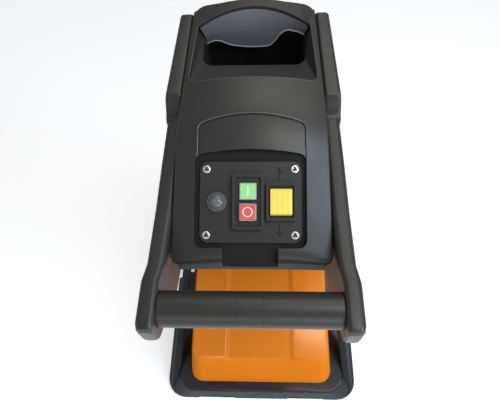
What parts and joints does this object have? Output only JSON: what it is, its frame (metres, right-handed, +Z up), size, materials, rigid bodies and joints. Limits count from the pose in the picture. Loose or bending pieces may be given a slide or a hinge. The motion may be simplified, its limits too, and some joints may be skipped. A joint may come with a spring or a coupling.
{
  "type": "garden shredder",
  "caption": "Quiet garden shredder with a feed hopper, control panel, grip bar, geared cutting roller, slide-out collection box and wheeled platform.",
  "frame": {"origin": "on the floor under the middle of the overall box", "axes": "+Z up, -Y to the front where the grip bar and the panel are, +X to the user's right"},
  "size_m": [0.452, 0.48, 0.847],
  "materials": {
    "black_plastic": "semi-gloss moulded",
    "dark_plastic": "fine grain",
    "grey_plastic": "semi-gloss moulded",
    "panel_plastic": "fine grain",
    "orange_plastic": "glossy moulded",
    "green_plastic": "glossy",
    "red_plastic": "glossy",
    "yellow_plastic": "glossy",
    "pale_plastic": "satin",
    "clear_silicone": "clear, soft",
    "rubber": "matt",
    "tyre": "matt with tread",
    "steel": "turned",
    "bright_steel": "plated",
    "tool_steel": "hardened",
    "cast_metal": "die cast"
  },
  "bodies": {
    "frame": {"base_platform": "dark_plastic", "rubber_feet": "rubber", "leg_frame_left": "dark_plastic", "leg_frame_right": "dark_plastic", "wheel_axle": "steel", "hub_cap_left": "steel", "hub_cap_right": "steel", "tower_floor": "dark_plastic", "housing_left": "black_plastic", "housing_right": "black_plastic", "housing_screws": "steel", "top_cover": "black_plastic", "feed_hopper": "black_plastic", "feed_guard": "grey_plastic", "feed_chute": "dark_plastic", "side_rail_left": "black_plastic", "side_rail_right": "black_plastic", "handle_arm_left": "black_plastic", "handle_arm_right": "black_plastic", "handle_bar": "black_plastic", "handle_screws": "steel", "control_panel": "panel_plastic", "panel_screws": "bright_steel", "switch_bezel": "panel_plastic", "switch_body": "dark_plastic", "rocker_bezel": "panel_plastic", "rocker_body": "dark_plastic", "reset_boot": "clear_silicone", "overload_breaker": "dark_plastic", "cutter_frame": "cast_metal", "roller_bearings": "steel", "gear_case": "cast_metal", "gear_cover": "cast_metal", "motor_stator": "cast_metal", "motor_end_bell": "cast_metal", "run_capacitor": "pale_plastic", "power_inlet": "dark_plastic"},
    "box": {"collection_box": "orange_plastic"},
    "wheel_left": {"wheel_rim_left": "dark_plastic", "tyre_left": "tyre"},
    "wheel_right": {"wheel_rim_right": "dark_plastic", "tyre_right": "tyre"},
    "on_key": {"on_button": "green_plastic"},
    "off_key": {"off_button": "red_plastic"},
    "rocker": {"direction_rocker": "yellow_plastic"},
    "reset_key": {"reset_button": "pale_plastic"},
    "roller": {"cutting_roller": "tool_steel", "roller_shaft": "steel", "roller_gear": "steel"},
    "counter": {"countershaft": "steel", "fast_gear": "steel", "slow_pinion": "steel"},
    "rotor": {"motor_shaft": "steel", "rotor_core": "tool_steel", "cooling_fan": "dark_plastic"},
    "adjuster": {"adjuster_knob": "dark_plastic", "adjuster_screw": "steel"},
    "plate": {"counter_plate": "cast_metal"}
  },
  "joints": [
    {"name": "box_slide", "type": "slide", "parent": "frame", "child": "box", "axis": [0, -1, 0], "range_m": [0, 0.35]},
    {"name": "wheel_left_spin", "type": "hinge", "parent": "frame", "child": "wheel_left", "pos_m": [-0.204, 0.165, 0.075], "axis": [1, 0, 0], "continuous": true},
    {"name": "wheel_right_spin", "type": "hinge", "parent": "frame", "child": "wheel_right", "pos_m": [0.204, 0.165, 0.075], "axis": [1, 0, 0], "continuous": true},
    {"name": "on_press", "type": "slide", "parent": "frame", "child": "on_key", "axis": [0, 0.4226, -0.9063], "range_m": [0, 0.0025], "stiffness_N_per_m": 400},
    {"name": "off_press", "type": "slide", "parent": "frame", "child": "off_key", "axis": [0, 0.4226, -0.9063], "range_m": [0, 0.0025], "stiffness_N_per_m": 400},
    {"name": "rocker_tilt", "type": "hinge", "parent": "frame", "child": "rocker", "pos_m": [0.029, -0.11515, 0.79419], "axis": [1, 0, 0], "range_deg": [-8, 8]},
    {"name": "reset_press", "type": "slide", "parent": "frame", "child": "reset_key", "axis": [0, 0.4226, -0.9063], "range_m": [0, 0.0015], "stiffness_N_per_m": 300},
    {"name": "roller_spin", "type": "hinge", "parent": "frame", "child": "roller", "pos_m": [0, 0.084, 0.44], "axis": [1, 0, 0], "continuous": true},
    {"name": "counter_spin", "type": "hinge", "parent": "frame", "child": "counter", "pos_m": [-0.085, 0.14358, 0.46047], "axis": [1, 0, 0], "continuous": true},
    {"name": "rotor_spin", "type": "hinge", "parent": "frame", "child": "rotor", "pos_m": [0, 0.161, 0.506], "axis": [1, 0, 0], "continuous": true},
    {"name": "adjuster_turn", "type": "hinge", "parent": "frame", "child": "adjuster", "pos_m": [0, -0.02, 0.44], "axis": [0, 1, 0], "range_deg": [-962, 242]},
    {"name": "plate_slide", "type": "slide", "parent": "frame", "child": "plate", "axis": [0, 1, 0], "range_m": [-0.004, 0.001]}
  ],
  "couplings": [
    {"joint": "counter_spin", "follows": "roller_spin", "ratio": -5},
    {"joint": "rotor_spin", "follows": "roller_spin", "ratio": 27.5},
    {"joint": "adjuster_turn", "follows": "plate_slide", "rad_per_m": 4188.8}
  ]
}
